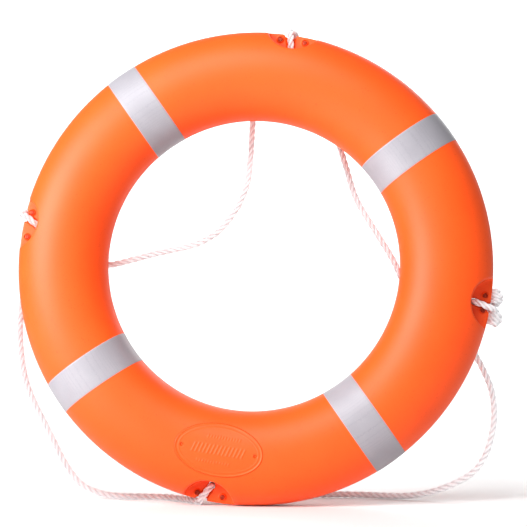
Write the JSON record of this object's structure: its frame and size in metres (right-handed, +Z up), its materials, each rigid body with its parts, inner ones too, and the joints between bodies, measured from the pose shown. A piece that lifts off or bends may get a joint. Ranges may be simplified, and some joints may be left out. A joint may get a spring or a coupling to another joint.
{
  "type": "ring lifebuoy",
  "caption": "Rigid ring lifebuoy with a two-part moulded shell, foam core, reflective bands and a rope grab line that hangs in loops behind the rim",
  "frame": {"origin": "lowest point of the ring's rim, in the middle plane between its front and its back, where the ring sits in its rack", "axes": "+Z is up across the ring, -Y is the front with the name plate, the ring's own axis is Y, and +X is to the right of someone who looks at the front"},
  "size_m": [0.7573, 0.1725, 0.7269],
  "materials": {
    "shell_orange": "semi-gloss moulded polyethylene",
    "foam": null,
    "reflective": "retro-reflective tape",
    "rope_white": "three-strand laid rope",
    "steel": "stainless, satin"
  },
  "bodies": {
    "ring": {"front_shell": "shell_orange", "back_shell": "shell_orange", "foam_core": "foam", "name_plate": "shell_orange", "name_plate_pin_1": "shell_orange", "name_plate_pin_2": "shell_orange", "foam_fill_plug": "shell_orange", "air_vent_plug": "shell_orange", "reflective_band_upper_right": "reflective", "reflective_band_upper_left": "reflective", "reflective_band_lower_left": "reflective", "reflective_band_lower_right": "reflective", "recess_screw_right_1": "steel", "recess_screw_right_2": "steel", "recess_screw_top_1": "steel", "recess_screw_top_2": "steel", "recess_screw_left_1": "steel", "recess_screw_left_2": "steel", "recess_screw_bottom_1": "steel", "recess_screw_bottom_2": "steel", "rope_knot_lead": "rope_white", "rope_turn_bottom": "rope_white", "rope_turn_left": "rope_white", "rope_turn_top": "rope_white", "rope_turn_right": "rope_white", "rope_knot_upper": "rope_white", "rope_knot_lower": "rope_white"},
    "loop_lower_right": {"grab_line_lower_right": "rope_white"},
    "loop_lower_left": {"grab_line_lower_left": "rope_white"},
    "loop_upper_left": {"grab_line_upper_left": "rope_white"},
    "loop_upper_right": {"grab_line_upper_right": "rope_white"}
  },
  "joints": [
    {"name": "lower_right_loop_swing", "type": "hinge", "parent": "ring", "child": "loop_lower_right", "pos_m": [0.337, 0.058, 0.232], "axis": [0.8801, 0.0023, 0.4747], "range_deg": [0, 80]},
    {"name": "lower_left_loop_swing", "type": "hinge", "parent": "ring", "child": "loop_lower_left", "pos_m": [-0.134, 0.055, 0.0055], "axis": [0.4512, -0.0067, -0.8924], "range_deg": [0, 65]},
    {"name": "upper_left_loop_swing", "type": "hinge", "parent": "ring", "child": "loop_upper_left", "pos_m": [-0.34, 0.057, 0.441], "axis": [0.8496, 0.0044, 0.5274], "range_deg": [0, 80]},
    {"name": "upper_right_loop_swing", "type": "hinge", "parent": "ring", "child": "loop_upper_right", "pos_m": [0.074, 0.057, 0.7], "axis": [0.5097, 0.0031, -0.8604], "range_deg": [0, 80]}
  ]
}
